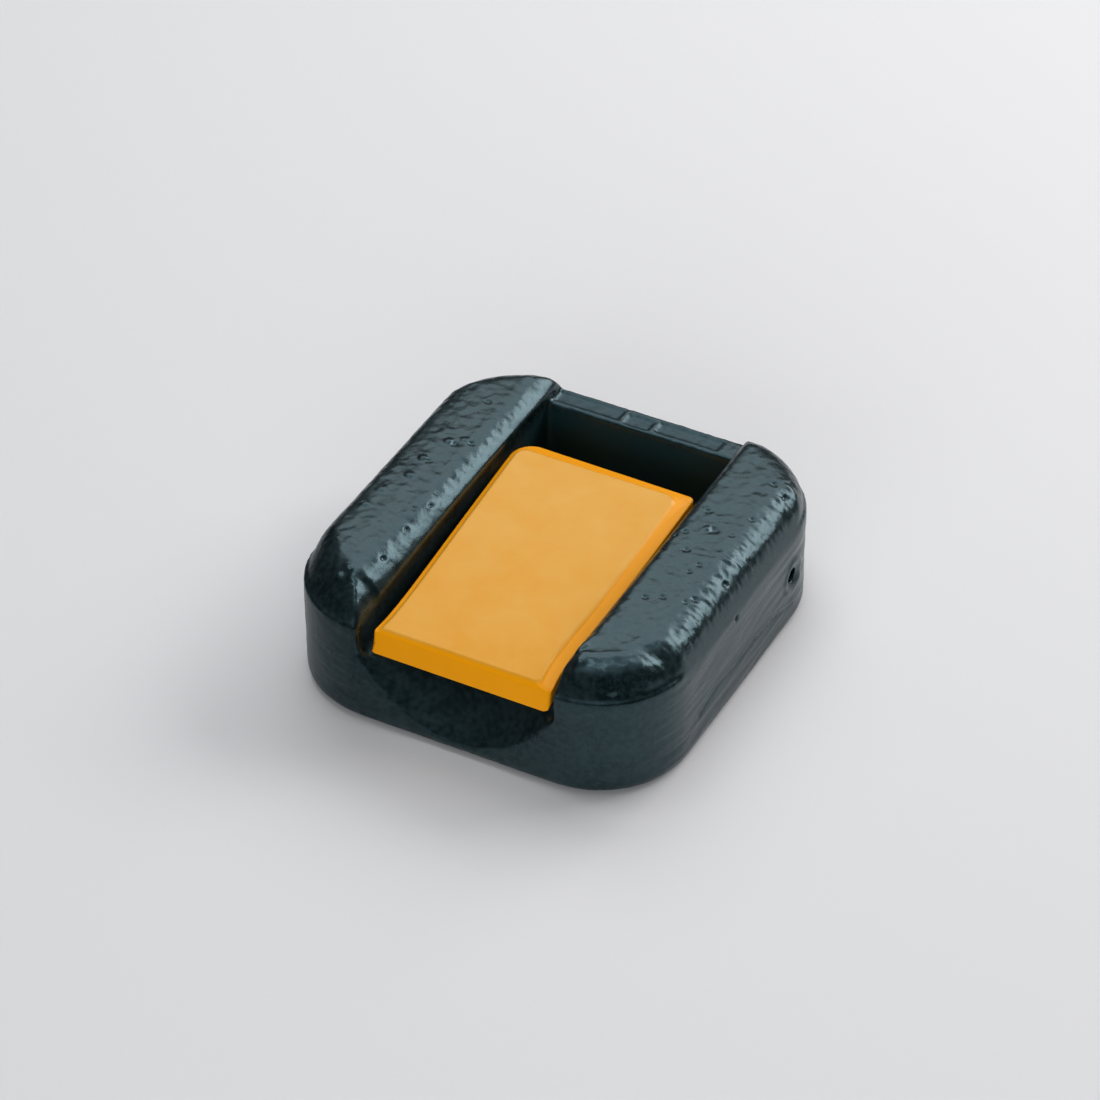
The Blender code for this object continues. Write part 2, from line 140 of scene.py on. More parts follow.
# %% Camera
CAMERA_TURN, CAMERA_HEIGHT = math.radians(27.67), math.radians(39.28)
CAMERA_DISTANCE = 0.77287
AIM = Vector((0, 0, 0.0113))
towards = Vector((
    math.sin(CAMERA_TURN) * math.cos(CAMERA_HEIGHT),
    -math.cos(CAMERA_TURN) * math.cos(CAMERA_HEIGHT),
    math.sin(CAMERA_HEIGHT),
))
bpy.ops.object.camera_add(
    location=AIM + towards * CAMERA_DISTANCE,
    rotation=(math.pi / 2 - CAMERA_HEIGHT, 0, CAMERA_TURN),
)
camera = bpy.context.object
camera.data.lens = 135.5
camera.data.sensor_width = 36.0
camera.data.shift_x = -0.00706
camera.data.shift_y = 0.02779
camera.data.clip_start = 0.05
bpy.context.scene.camera = camera
bpy.context.scene.view_settings.view_transform = "Standard"
print("camera at", [round(c, 3) for c in camera.location], "lens", camera.data.lens)


# %% [markdown]
# ## Shader maths as plain expressions
# A finish is a sum of patterns, and node trees built one link at a time are hard to read. So a
# socket becomes a small object that can be added, subtracted and multiplied, and each kind of
# node that is often needed gets a short name.

# %% A socket that can be added and multiplied
class Signal:
    """One socket of a node tree, so that sums can be written as plain expressions."""

    def __init__(self, paint, socket):
        self.paint = paint
        self.socket = socket

    def _math(self, operation, first, second):
        return self.paint.node("Math", {"operation": operation}, {0: first, 1: second})

    def __add__(self, other):
        return self._math("ADD", self, other)

    def __radd__(self, other):
        return self._math("ADD", other, self)

    def __rsub__(self, other):
        return self._math("SUBTRACT", other, self)

    def __mul__(self, other):
        return self._math("MULTIPLY", self, other)

    def __rmul__(self, other):
        return self._math("MULTIPLY", other, self)


# %% A node tree, with short names for the nodes that most finishes use
class Paint:
    """A node tree, and methods that add nodes to it."""

    def __init__(self, tree):
        self.tree = tree

    def put(self, socket, value):
        """Link a signal to a socket, or set the socket to a plain value."""
        if isinstance(value, Signal):
            self.tree.links.new(value.socket, socket)
        else:
            socket.default_value = value

    def node(self, kind, settings=None, inputs=None, output=0):
        """Add any node and return one of its outputs."""
        made = self.tree.nodes.new("ShaderNode" + kind)
        for name, value in (settings or {}).items():
            if name == "stops":
                elements = made.color_ramp.elements
                while len(elements) < len(value):
                    elements.new(1.0)
                for element, (position, grey) in zip(elements, value):
                    element.position = position
                    element.color = (grey, grey, grey, 1.0)
            else:
                setattr(made, name, value)
        for name, value in (inputs or {}).items():
            self.put(made.inputs[name], value)
        return Signal(self, made.outputs[output])

    def mix(self, share, first, second):
        """The first colour where the share is 0, and the second where it is 1."""
        return self.node("Mix", {"data_type": "RGBA"}, {0: share, 6: first, 7: second}, output=2)

    def slope(self, value, start, end, low=0.0, high=1.0):
        """Low where the value is at the start, high where it is at the end, straight between."""
        inputs = {"Value": value, "From Min": start, "From Max": end, "To Min": low, "To Max": high}
        return self.node("MapRange", inputs=inputs)

    def speckle(self, spot, scale, detail, distortion=0.0):
        """A soft noise, which is finer where its scale is larger."""
        inputs = {"Vector": spot, "Scale": scale, "Detail": detail, "Distortion": distortion}
        return self.node("TexNoise", inputs=inputs)

    def axis(self, spot, name):
        """How far a spot lies along X, Y or Z."""
        return self.node("SeparateXYZ", inputs={0: spot}, output=name)


# %% A new finish
class Finish(Paint):
    """A new material, and the place on the piece that its patterns follow."""

    def __init__(self, name, **constants):
        self.material = bpy.data.materials.new(name)
        self.material.use_nodes = True
        super().__init__(self.material.node_tree)
        self.spot = self.node("TexCoord", output="Object")
        self.shader = self.tree.nodes["Principled BSDF"]
        for socket, value in constants.items():
            self.shader.inputs[socket.replace("_", " ")].default_value = value

    def wear(self, colour, roughness, height, strength, depth):
        """Put a colour, a roughness and a bump, whose depth is in mm, on the shader."""
        bump = self.node("Bump", inputs={"Strength": strength, "Distance": depth * MM, "Height": height})
        for socket, value in (("Base Color", colour), ("Roughness", roughness), ("Normal", bump)):
            self.put(self.shader.inputs[socket], value)
        print(self.material.name, "has", len(self.tree.nodes), "nodes")


# %% [markdown]
# ## The floor and the sky
# The photograph is a cut-out on a pale, even ground. A plain plane under a plain sky would show
# the same, but the glossy walls would mirror it, and the photograph's walls are dark. So the
# floor asks what kind of ray meets it. The camera sees it pale all over, and every other ray
# finds it dark far out and towards the front left. The sky is pale for the camera only, too.

# %% Floor
PALE_BOARD, DARK_BOARD = (0.72, 0.735, 0.76, 1), (0.10, 0.10, 0.11, 1)
FRONT_LEFT = (-0.7, -0.7, 0.0)
bpy.ops.mesh.primitive_plane_add(size=2.4)
floor = bpy.context.object
floor.name = "studio_floor"
board = Finish("pale_board", Roughness=0.8)
# For every ray but the camera's the floor is painted dark: painted shade far out, and a painted shadow of the
# weight towards the front left.
from_middle = board.node("VectorMath", {"operation": "LENGTH"}, {0: board.spot}, output="Value")
far = board.node("ValToRGB", {"stops": ((0.22, 0.0), (0.45, 1.0))}, {0: from_middle})
towards_front_left = board.node(
    "VectorMath", {"operation": "DOT_PRODUCT"}, {0: board.spot, 1: FRONT_LEFT}, output="Value",
)
shaded = board.slope(towards_front_left, 0.02, 0.09, high=0.8)
unseen = 1.0 - board.node("LightPath", output="Is Camera Ray")
colour = board.mix((far + shaded) * unseen, PALE_BOARD, DARK_BOARD)
board.put(board.shader.inputs["Base Color"], colour)
floor.data.materials.append(board.material)
floor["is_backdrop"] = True
print("floor:", round(floor.dimensions.x, 2), "m wide")

# %% Sky
world = bpy.context.scene.world or bpy.data.worlds.new("studio")
bpy.context.scene.world = world
world.use_nodes = True
sky = Paint(world.node_tree)
seen = sky.node("LightPath", output="Is Camera Ray")
upwards = sky.axis(sky.node("TexCoord", output="Generated"), "Z")
glow = sky.node("ValToRGB", {"stops": ((0.0, 0.05), (0.25, 0.05), (0.6, 0.10), (1.0, 0.20))}, {0: upwards})
backdrop = sky.mix(seen, glow, (0.70, 0.715, 0.74, 1))
sky.put(world.node_tree.nodes["Background"].inputs["Color"], backdrop)
print("sky:", len(world.node_tree.nodes), "nodes")

# %% [markdown]
# ## The lamps
# A dark glossy coat shows lamps far more than its own colour, so each softbox stands where the
# coat of the real weight mirrors one. A broad one, behind at the left, lies on the flat ridge
# tops. A warmer key one, behind at the right, is caught by the rounded shoulders. A large weak
# one overhead and a narrow strip high at the left soften the rest. The front wall mirrors no
# lamp in the photograph, so the one that lights it is hidden from glossy reflections.

# %% Softboxes
LAMP_DISTANCE = 1.0


def softbox(name, turn, height, width, tall, radiance, tint=(1, 1, 1)):
    """A rectangular lamp that faces the weight; turn 0 is straight behind it, plus is right."""
    a, e = math.radians(turn), math.radians(height)
    way = Vector((math.sin(a) * math.cos(e), math.cos(a) * math.cos(e), math.sin(e)))
    bpy.ops.object.light_add(type="AREA", location=AIM + way * LAMP_DISTANCE)
    lamp = bpy.context.object
    lamp.name = name
    lamp.rotation_mode = "QUATERNION"
    lamp.rotation_quaternion = (-way).to_track_quat("-Z", "Y")
    lamp.data.shape = "RECTANGLE"
    lamp.data.size = width
    lamp.data.size_y = tall
    lamp.data.color = tint
    lamp.data.energy = radiance * math.pi * width * tall
    return lamp


softbox("broad_softbox", -27, 49, 0.92, 0.64, 1.9)
softbox("key_softbox", 29, 33, 0.72, 0.44, 6.3, (1.0, 0.95, 0.93))
softbox("overhead_softbox", 180, 85, 0.90, 1.30, 0.35)
softbox("rim_strip", -90, 80, 0.16, 0.62, 4.5)
fill = softbox("front_fill", 165, 14, 0.90, 0.60, 3.6)
fill.visible_glossy = False

# %% [markdown]
# ## The dipped coat, step 1: its rough form
# On the real weight a rough lead casting is dipped in liquid plastic, which rounds every ridge
# and leaves small lumps and craters. It could be drawn as smooth surfaces, but then it would
# look machined. So it is carved and modelled like clay, from a copy of the CAD coating's outside:
# a strip of clay is laid along the left ridge's inner edge, and a wavy sheet shaves both ridges.

# %% A copy of the CAD coating, parted into its outside and its hollow
VOXEL = 0.36 * MM
BORE = 1.55  # the radius of the pin's bore, in mm


def from_pin(point):
    """How far a point is from the pin's axis."""
    return math.hypot(point.y - PIN.y, point.z - PIN.z)


skin = bpy.data.objects.new("coating_skin", nodes["coating"].data.copy())
bpy.context.collection.objects.link(skin)
edit(skin)
bpy.ops.mesh.select_all(action="SELECT")
bpy.ops.mesh.remove_doubles(threshold=0.001 * MM)
choose(skin, "FACE", lambda face: all(from_pin(v.co) < (BORE + 0.05) * MM for v in face.verts))
bpy.ops.mesh.delete(type="FACE")
bpy.ops.mesh.separate(type="LOOSE")
leave()
shells = [o for o in bpy.context.selected_objects if o.type == "MESH"]
shells.sort(key=lambda o: -o.dimensions.x)
skin, space = shells[:2]
skin.name, space.name = "coating_skin", "casting_space"
for shell in shells:
    edit(shell)
    bpy.ops.mesh.select_all(action="SELECT")
    bpy.ops.mesh.fill_holes(sides=0)
    bpy.ops.mesh.select_all(action="SELECT")
    bpy.ops.mesh.normals_make_consistent(inside=False)
    leave()
print([(s.name, tuple(round(d / MM, 1) for d in s.dimensions)) for s in shells])


# %% Clay along the left ridge, where the photograph's edge is fuller than the CAD's
def box(name, low, high, origin=Vector()):
    """A cube added at its size and place, in mm from an origin that it keeps."""
    low, high = Vector(low) * MM, Vector(high) * MM
    bpy.ops.mesh.primitive_cube_add(size=1, location=origin + (low + high) / 2, scale=high - low)
    made = bpy.context.object
    made.name = name
    only(made)
    bpy.context.scene.cursor.location = origin
    bpy.ops.object.transform_apply(location=False, rotation=False, scale=True)
    bpy.ops.object.origin_set(type="ORIGIN_CURSOR")
    return made


def combine(piece, operation, *tools):
    """Join a tool to the piece, or cut it away, and put the tool aside."""
    for tool in tools:
        apply(piece, "BOOLEAN", operation=operation, object=tool, solver="EXACT")
        bpy.data.objects.remove(tool)


clay = box("clay", (-25.5, -31.5, 17.0), (-20.02, 35.2, 28.0))
combine(skin, "UNION", clay)
print("clay on:", len(skin.data.polygons), "faces")

# %% [markdown]
# The shaving sheet is a grid whose rows and columns are moved to measured heights and then
# subdivided smooth. It dips over each ridge's edges, and more so at the left one's front end,
# where the real coat has run down into a long soft chamfer.

# %% The sheet's heights
SHEET = (  # across the weight: x, height at the back, how much lower at the front
    (-41, 15.0, 0), (-38.6, 20.6, 0), (-37.5, 24.0, 0), (-36.2, 26.2, 0), (-34.0, 26.9, 0),
    (-31.0, 27.25, 0), (-28.0, 27.35, 0), (-25.4, 27.4, 0.1), (-24.0, 27.38, 0.33),
    (-23.0, 27.2, 0.75), (-22.0, 26.75, 1.15), (-21.0, 26.1, 1.6), (-20.2, 25.45, 2.25),
    (-19.6, 24.8, 2.8), (-18, 23, 4), (18, 26.5, 0), (20, 27, 0), (22, 28, 0), (26, 27.9, 0),
    (30, 27.5, 0), (31.6, 27.4, 0), (33.2, 27.1, 0), (34.8, 26.6, 0), (36.3, 25.5, 0),
    (37.3, 24.0, 0), (38.3, 21.0, 0), (41, 12, 0),
)
ALONG = (  # along the weight: y, and how much of that drop applies there
    (-46, 1.1), (-36, 1.05), (-31, 1.0), (-26, 0.8), (-17, 0.55), (-8, 0.3), (4, 0.15), (17, 0),
    (31, 0), (46, 0),
)
print("sheet:", len(SHEET), "by", len(ALONG), "points")

# %% Shave both ridges, and turn the skin into one even mesh
RASP_DEPTH = 16  # enough to reach over the ridges' tops
bpy.ops.mesh.primitive_grid_add(x_subdivisions=len(SHEET) - 1, y_subdivisions=len(ALONG) - 1, size=2)
rasp = bpy.context.object
rasp.name = "rasp"
for i, vertex in enumerate(rasp.data.vertices):
    (x, height, drop), (y, share) = SHEET[i % len(SHEET)], ALONG[i // len(SHEET)]
    vertex.co = Vector((x, y, height - drop * share)) * MM
apply(rasp, "SUBSURF", levels=2, render_levels=2)
edit(rasp)
bpy.ops.mesh.select_all(action="SELECT")
bpy.ops.mesh.extrude_region_move(TRANSFORM_OT_translate={"value": (0, 0, RASP_DEPTH * MM)})
bpy.ops.mesh.select_all(action="SELECT")
bpy.ops.mesh.normals_make_consistent(inside=False)
leave()
combine(skin, "DIFFERENCE", rasp)
apply(skin, "REMESH", mode="VOXEL", voxel_size=VOXEL)
apply(skin, "SMOOTH", factor=0.5, iterations=9)
print("coating", len(skin.data.vertices), "vertices")


# %% [markdown]
# ## The dipped coat, step 2: lumps, craters and wear
# A coat that has run and set is never even. Each kind of mark gets its own mask, a vertex group
# whose weights come from the place and the way the surface faces, and the Displace modifier
# pushes the surface by a noise pattern, or by a set amount, only where the mask is.

# %% Masks
MASK_STEPS = 250  # how finely a mask's weights are told apart


def ramp(value, low, high):
    """0 below low, 1 above high, and smooth between them."""
    t = min(1.0, max(0.0, (value - low) / (high - low)))
    return t * t * (3 - 2 * t)


def group(piece, name, weight):
    """A vertex group whose weights come from a place in mm and a normal."""
    made = piece.vertex_groups.new(name=name)
    levels = {}
    for vertex in piece.data.vertices:
        level = round(weight(vertex.co / MM, vertex.normal) * MASK_STEPS)
        if level:
            levels.setdefault(level, []).append(vertex.index)
    for level, indices in levels.items():
        made.add(indices, level / MASK_STEPS, "REPLACE")
    print(name, sum(map(len, levels.values())), "vertices")
    return made.name


# %% Displacement within a mask
def roughen(piece, where, strength, kind, grain, stretch=(1, 1, 1), **settings):
    """Displace along the normal by a noise pattern whose grain is in mm."""
    texture = bpy.data.textures.new(where, kind)
    texture.noise_scale = 1.0
    for key, value in settings.items():
        setattr(texture, key, value)
    bpy.ops.object.empty_add()
    guide = bpy.context.object
    guide.scale = [grain * MM * s for s in stretch]
    bpy.context.view_layer.update()
    apply(
        piece, "DISPLACE", texture=texture, texture_coords="OBJECT", texture_coords_object=guide,
        vertex_group=where, strength=strength * MM, mid_level=0.5,
    )
    bpy.data.objects.remove(guide)


def press(piece, where, depth):
    """Move the masked surface by a set depth in mm along its normal; plus is outwards."""
    apply(piece, "DISPLACE", vertex_group=where, strength=depth * MM, mid_level=0.0)


def dots(table):
    """A mask of soft round spots: each has a place in mm and a radius."""
    def weight(p, n):
        best = 0.0
        for *spot, radius in table:
            distance = (p - Vector(spot)).length / radius
            if distance < 1:
                best = max(best, (1 - distance * distance) ** 2)
        return best
    return weight


# %% [markdown]
# The liquid plastic ran off the walls and drew back at the ends of the channel, so both are
# calmer there than the carved form. Someone sculpting by hand would brush them smooth, and here
# the Smooth modifier does it, each time within a mask.

# %% Calm the walls, and round the ridges' inner corners
def low_wall(p, n):
    """The side walls, up to a little below their edge."""
    return (1 - ramp(p.z, 19.0, 20.4)) * ramp(max(abs(p.x) - 34, abs(p.y) - 36), -3, 0)


def corners(p, n):
    """The rear ends of both ridges' inner edges, and the front end of the left one's."""
    behind = 1 - ramp(math.hypot(abs(p.x) - 20.2, p.y - 38.0), 1.5, 4.0)
    gate = 1 - ramp(math.hypot(p.x + 20.0, p.y + 39.6), 1.2, 3.2)
    return max(behind * ramp(p.z, 23.8, 24.6), gate * ramp(p.z, 13.5, 15.5))


for mask_name, mask in (("calm_walls", low_wall), ("drawn_corners", corners)):
    apply(skin, "SMOOTH", factor=0.5, iterations=30, vertex_group=group(skin, mask_name, mask))

# %% [markdown]
# The right ridge's front shoulder is fuller than an arc, as if the plastic had gathered there.
# It is pushed out most where it leans halfway between level and upright, so that the ridge's top
# and the wall below it stay where they are.

# %% The right ridge's front shoulder
FULLER = 1.5  # mm, where it is pushed out most


def fuller(p, n):
    """The ridge's front end, most where the surface leans by 45 degrees."""
    lean = max(0.0, min(1.0, n.z)) ** 2
    return 4 * lean * (1 - lean) * ramp(p.x, 20.5, 22.5) * ramp(-p.y, 26, 31) * ramp(p.z, 21.2, 25.4)


right_front = group(skin, "right_front", fuller)
press(skin, right_front, FULLER)
apply(skin, "SMOOTH", factor=0.5, iterations=4, vertex_group=right_front)

# %% [markdown]
# The ridge tops have a slow swell, small bumps, and round dimples as if they were hammered, and
# their inner and outer shoulders have sharper folds. No single noise has all of these sizes, so
# each is a Displace modifier of its own, with its own grain in mm.

# %% The ridge tops and the shoulders
top = group(skin, "ridge_tops", lambda p, n: ramp(p.z, 23.6, 26.2) * ramp(abs(p.x), 20.2, 21.5))
right_bend = group(
    skin, "right_bend",
    lambda p, n: ramp(p.x, 31.5, 34.0) * (1 - ramp(p.x, 37.0, 37.9)) * ramp(p.z, 22.5, 24.5),
)
left_bend = group(
    skin, "left_bend",
    lambda p, n: ramp(p.x, -24.5, -23.0) * (1 - ramp(p.x, -20.6, -19.9)) * ramp(p.z, 22.5, 24.0),
)
roughen(skin, top, 0.28, "CLOUDS", 5.0)
roughen(skin, top, 0.15, "CLOUDS", 1.5, noise_depth=1)
roughen(skin, top, 0.10, "VORONOI", 2.2)
roughen(skin, right_bend, 0.36, "CLOUDS", 1.0, (4, 1.5, 4))
roughen(skin, left_bend, 0.12, "CLOUDS", 1.0, (4, 2.4, 4))

# %% [markdown]
# Air bubbles leave craters, and drops leave blobs. They could be scattered at random, but the photograph
# shows where each one is, so they are listed one by one: a place on the weight and a radius, in mm. A ray
# from above finds the height of the surface there.

# %% Craters and blobs, each where the photograph has it
PITS = (
    (27.7, 9.0, 1.5), (23.2, 6.2, 0.8), (21.9, 4.5, 0.7), (25.8, 1.5, 0.9), (29.7, -1.4, 0.8),
    (29.0, -3.9, 0.8), (33.2, -10.3, 0.8), (32.2, -11.9, 0.8), (28.0, -12.6, 0.8), (25.2, -14.1, 0.8),
    (24.3, 13.5, 0.9), (31.3, 9.1, 0.7), (35.6, -2.5, 0.8), (32.5, 15.1, 0.8), (31.6, 26.4, 0.8),
    (34.6, 24.6, 0.8), (-27.1, 9.7, 0.9), (-24.2, 11.2, 0.9), (-28.8, 2.9, 0.9), (-24.1, -10.9, 0.8),
    (-22.3, -8.1, 0.7), (-22.8, -16.3, 0.7), (-22.6, -25.3, 0.8), (-27.7, 24.2, 0.9),
)
BLOBS = (
    (26.4, 8.7, 1.1), (22.9, -35.2, 1.3), (29.6, -36.0, 1.2), (33.2, -35.2, 1.3), (-28.3, 9.8, 1.3),
    (-26.0, 11.6, 1.1), (-30.2, 3.2, 1.3), (-30.0, -2.6, 1.4), (-32.6, -8.4, 1.5), (-33.1, -13.7, 1.4),
    (-27.8, -32.8, 1.2), (-26.7, -31.0, 1.1),
)
MARK_DEPTH = 0.34


def height_at(x, y):
    """The top of the skin under a place, so that a mark sits on the surface."""
    hit, where, _, _ = skin.ray_cast(Vector((x, y, 60)) * MM, Vector((0, 0, -1)))
    return where.z / MM if hit else 0.0


pits = [(x, y, height_at(x, y), r) for x, y, r in PITS]
blobs = [(x, y, height_at(x, y), r) for x, y, r in BLOBS]
press(skin, group(skin, "pits", dots(pits)), -MARK_DEPTH)
press(skin, group(skin, "blobs", dots(blobs)), MARK_DEPTH)

# %% [markdown]
# The bar behind the lever is lower than the ridges. Its front edge is soft, and on its top are
# three shallow dished patches with rims between them, which the casting's mould seems to have
# left. The edge is smoothed and then roughened, and the patches are pressed in through a mask.

# %% The bar's front edge
bar_edge = group(
    skin, "bar_edge",
    lambda p, n: (1 - ramp(math.hypot(p.y - 34.14, p.z - 23.3), 0.7, 1.6)) * (1 - ramp(abs(p.x), 19.0, 20.0)),
)
apply(skin, "SMOOTH", factor=0.6, iterations=12, vertex_group=bar_edge)
roughen(skin, bar_edge, 0.35, "CLOUDS", 1.0, (2.6, 8, 8))

# %% The patches on the bar
PATCHES = (  # left, right, front and back
    (-20, -5, 34.9, 39.4), (-5, 1.6, 34.4, 38.9), (1.6, 16.1, 34.9, 39.3),
)
PATCH_DEPTH = 0.45


def dished(p, n):
    """Three patches side by side on top of the bar, with rims between them."""
    inside = 0.0
    for left, right, front, back in PATCHES:
        side = ramp(min(p.x - left, right - p.x), 0.1, 1.1)
        inside = max(inside, side * ramp(min(p.y - front, back - p.y), 0.1, 1.1))
    return inside * ramp(p.z, 21.8, 22.6) * (1 - ramp(abs(p.x), 19.2, 20.4))


press(skin, group(skin, "bar_patches", dished), -PATCH_DEPTH)
bar_top = group(
    skin, "bar_top",
    lambda p, n: ramp(p.z, 22.0, 22.8) * (1 - ramp(abs(p.x), 19.0, 20.5)) * ramp(p.y, 33.5, 34.5),
)
roughen(skin, bar_top, 0.22, "CLOUDS", 1.3)

# %% [markdown]
# The walls have slow streaks where the plastic ran, so their noise is stretched along the wall.
# The right one also has a healed crease, a line pressed in with a low lip above it. It is
# drawn as a chain of measured points, and the mask fades with the distance from it.

# %% The walls' streaks
wall = group(
    skin, "walls",
    lambda p, n: (1 - ramp(p.z, 20, 21.4)) * ramp(max(abs(p.x) - 34, abs(p.y) - 36), 0, 3)
    * ramp(abs(n.x) + abs(n.y), 0.6, 0.9),
)
roughen(skin, wall, 0.30, "CLOUDS", 1.0, (8, 16, 2.6))
right_wall = group(
    skin, "right_wall",
    lambda p, n: (1 - ramp(p.z, 17, 20)) * ramp(p.x, 36, 37.6) * ramp(n.x, 0.6, 0.9),
)
roughen(skin, right_wall, 0.34, "CLOUDS", 1.0, (20, 22, 1.7))

# %% The crease in the right wall
CREASE = ((21.3, 5.0), (12.5, 7.1), (3.8, 8.3), (-2.5, 8.2), (-10.2, 8.9), (-18.3, 7.6))
CREASE_WIDTH = 0.8


def along_crease(offset):
    """A mask along the crease, or along a line that much above it."""
    def weight(p, n):
        if p.x < 36:
            return 0.0
        best = CREASE_WIDTH
        for (y1, z1), (y2, z2) in zip(CREASE, CREASE[1:]):
            t = min(1.0, max(0.0, (p.y - y1) / (y2 - y1)))
            best = min(best, math.hypot(p.y - y1 - t * (y2 - y1), p.z - offset - z1 - t * (z2 - z1)))
        return (1 - best / CREASE_WIDTH) ** 2
    return weight


press(skin, group(skin, "crease", along_crease(0)), -0.28)
press(skin, group(skin, "crease_lip", along_crease(0.95)), 0.16)

# %% The dimple round the pin's pit, with a soft ring, and one dimple more on each side
DIMPLES = ((38.5, PIN.y / MM, PIN.z / MM, 2.8), (38.4, -3.4, 19.6, 0.9), (-38.5, -11.6, 21.4, 1.6))
RING_RADIUS, RING_WIDTH = 3.3, 1.1
press(skin, group(skin, "dimples", dots(DIMPLES)), -0.7)


def pit_ring(p, n):
    """The coat has crept up into a soft ring round the pin's pit."""
    if p.x <= 37:
        return 0.0
    close = max(0.0, 1 - abs(from_pin(p * MM) / MM - RING_RADIUS) / RING_WIDTH)
    return close ** 2 * (3 - 2 * close)


press(skin, group(skin, "pit_ring", pit_ring), 0.22)

# %% [markdown]
# A voxel remesh spends as many faces on a flat wall as on a lump. The Decimate modifier takes
# them away where the form is plain. Only now is the casting's space taken out again, and the
# pin's bore, which ends blind at the left, so that their edges stay exact.

# %% Fewer faces, then the hollow and the pin's bore
MOST_FACES = 175000
BORE_LENGTH, BORE_MIDDLE = 80, 8.2
ratio = min(1.0, MOST_FACES / (2 * len(skin.data.polygons)))
apply(skin, "DECIMATE", decimate_type="COLLAPSE", ratio=ratio)
bpy.ops.mesh.primitive_cylinder_add(
    vertices=64, radius=BORE * MM, depth=BORE_LENGTH * MM, rotation=(0, math.pi / 2, 0),
    location=(BORE_MIDDLE * MM, PIN.y, PIN.z),
)
combine(skin, "DIFFERENCE", space, bpy.context.object)
only(skin)
bpy.ops.object.shade_smooth_by_angle(angle=math.radians(40))
print("coating", len(skin.data.polygons), "faces, hollow")

# %% [markdown]
# ## The coat's finish
# Dark green-black plastisol: almost black in its own colour, and what is seen of it is mostly
# gloss. So the colour varies only a little, and the care goes into the roughness, which changes
# from place to place, and into two sizes of fine grain in the bump.

# %% Dipped plastic: its colour and its two sizes of grain
coat = Finish("dipped_plastic", IOR=1.6, Specular_Tint=(0.50, 0.87, 1.0, 1))
broad = coat.speckle(coat.spot, 160.0, 2.0)
grain = coat.speckle(coat.spot, 900.0, 3.0)
peel = coat.speckle(coat.spot, 2600.0, 2.0)
bloom = coat.slope(0.35 * broad + 0.65 * grain, 0.40, 0.60)
skin_colour = coat.mix(bloom, (0.001, 0.004, 0.005, 1), (0.009, 0.017, 0.019, 1))
print("coat:", len(coat.tree.nodes), "nodes so far")

# %% [markdown]
# The channel's side walls are dull, as if the belt had rubbed them, and the ridges' tops are grainier than
# the walls. In the recess at the channel's back end the channel walls also get a bluer colour, which is
# painted bluish light. Painted maps would need an unwrapped model, so here the place itself decides: a slope
# along X, Y or Z goes from 0 to 1 within a millimetre or two, and a product of slopes is 1 only where all of
# them are. A fault shows how this can go wrong: nothing ends the two products towards the back, so the middle
# of the outer back wall is dull and has the painted bluish light as well.

# %% Dipped plastic: where it is dull, and the painted bluish light in the recess
aside = coat.node("Math", {"operation": "ABSOLUTE"}, {0: coat.axis(coat.spot, "X")})
along = coat.axis(coat.spot, "Y")
height = coat.axis(coat.spot, "Z")
channel_wall = coat.slope(aside, 20.5 * MM, 19.7 * MM) * coat.slope(height, 23.5 * MM, 21.5 * MM)
behind_front = coat.slope(along, -38.5 * MM, -36.5 * MM)
recess_painted_light = coat.slope(along, 23.5 * MM, 25.0 * MM)
rough_top = coat.slope(height, 21.6 * MM, 24.5 * MM, low=0.4, high=2.6)
# The bluer colour on the channel walls in the recess is painted bluish light.
coat.wear(
    colour=coat.mix(channel_wall * recess_painted_light, skin_colour, (0.002, 0.020, 0.030, 1)),
    roughness=0.19 + 0.14 * broad + 0.06 * peel + 0.35 * (channel_wall * behind_front),
    height=rough_top * (grain + 0.25 * peel), strength=0.3, depth=0.06,
)
skin.data.materials.clear()
skin.data.materials.append(coat.material)
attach(skin, "weight")
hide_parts("coating")

# %% [markdown]
# ## The release lever
# One orange moulding: a long plate with a turned-down lip that a finger lifts, a slightly raised
# panel inside a sloping border, and at the back a web that ends in two hinge knuckles. The real
# one is waisted behind its lip, and its corners differ, so it is pushed and pulled out of a block
# rather than built from exact curves. It is modelled level, with the pin as its origin, and
# tilted on the pin at the end, as it lies on the weight.

# %% The plate and its sloping border, in mm from the pin's axis
CREST, LIP_ROOT, PLATE_BACK = -57.7, -55.6, 0.5  # along Y
UNDER, RISE = 9.8, 12.1  # up Z, to the plate's underside and to its border
HALF_WIDTH, LEFT_CORNER = 18, 4.6
BORDER, FRONT_BORDER, LEFT_BORDER = 2.1, 0.45, 0.85
RIM_MOVES = (  # the side, and how far its top edge moves in Z behind and in front of a line across
    (1, -0.85, -0.5), (-1, -0.4, -0.1),
)
LINE_ACROSS = -20

lever = box("release_lever_moulding", (-HALF_WIDTH, CREST, UNDER), (HALF_WIDTH, PLATE_BACK, RISE), PIN)


def move(piece, kind, test, x=0.0, y=0.0, z=0.0):
    """Select by a test and move by mm."""
    if choose(piece, kind, test):
        bpy.ops.transform.translate(value=(x * MM, y * MM, z * MM))


def near(value, target):
    """Whether a value in metres is that many mm, give or take 0.02."""
    return abs(value / MM - target) < 0.02


def rear_left(edge):
    """The plate's upright edge at the rear left."""
    spot = place(edge)
    return spot.y > 0 and spot.x < -17 * MM and near(spot.z, (UNDER + RISE) / 2)


def rim(side, is_behind):
    """The plate's top outer edge on one side, behind or in front of the line across."""
    def test(v):
        if not near(v.co.z, RISE) or (v.co.y / MM > LINE_ACROSS) != is_behind:
            return False
        return v.co.x * side > 0 and any(abs(f.normal.z) < 0.3 for f in v.link_faces)
    return test


